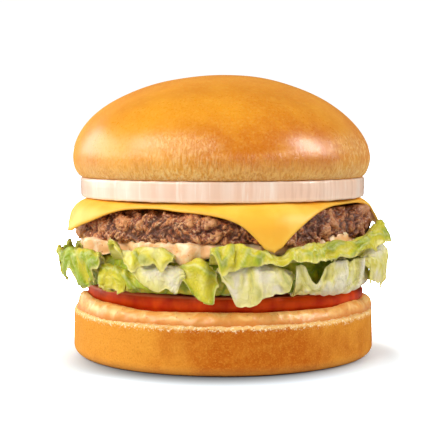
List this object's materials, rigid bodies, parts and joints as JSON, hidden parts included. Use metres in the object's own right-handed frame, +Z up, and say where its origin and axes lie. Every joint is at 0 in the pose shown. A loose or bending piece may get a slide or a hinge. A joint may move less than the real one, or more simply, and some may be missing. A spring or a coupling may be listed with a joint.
{
  "type": "cheeseburger",
  "caption": "Round cheeseburger standing on its bun: bun halves, onion, cheese, beef patty, sauce, ruffled lettuce leaves and tomato in a level stack.",
  "frame": {"origin": "centre of the flat underside of the bun's lower half, where the burger rests", "axes": "+Z up through the stack, -Y towards the front, where a corner of the cheese hangs down a little to the right"},
  "size_m": [0.1123, 0.1106, 0.0936],
  "materials": {
    "bun_crown": "smooth satin baked crust",
    "bun_heel": "matt, fine-grained baked crust with a pale cut rim",
    "sauce": "wet, creamy",
    "tomato": "wet, smooth",
    "lettuce": "crisp, slightly waxy, pale towards the ribs",
    "beef": "coarse, grilled, with greasy glints",
    "cheese": "smooth satin",
    "onion": "moist, translucent, faintly streaked"
  },
  "bodies": {
    "root": {"bun_heel": "bun_heel", "spread_lower": "sauce", "tomato_slice": "tomato", "lettuce_left": "lettuce", "lettuce_front_left": "lettuce", "lettuce_rib": "lettuce", "lettuce_centre": "lettuce", "lettuce_pale": "lettuce", "lettuce_upper_left": "lettuce", "lettuce_upper_right": "lettuce", "lettuce_right": "lettuce", "lettuce_right_edge": "lettuce", "lettuce_back_right": "lettuce", "lettuce_back": "lettuce", "lettuce_back_left": "lettuce", "lettuce_upper_back_right": "lettuce", "lettuce_upper_back_left": "lettuce", "spread_upper": "sauce", "beef_patty": "beef", "cheese_slice": "cheese", "onion_slice": "onion", "bun_crown": "bun_crown"}
  },
  "joints": []
}
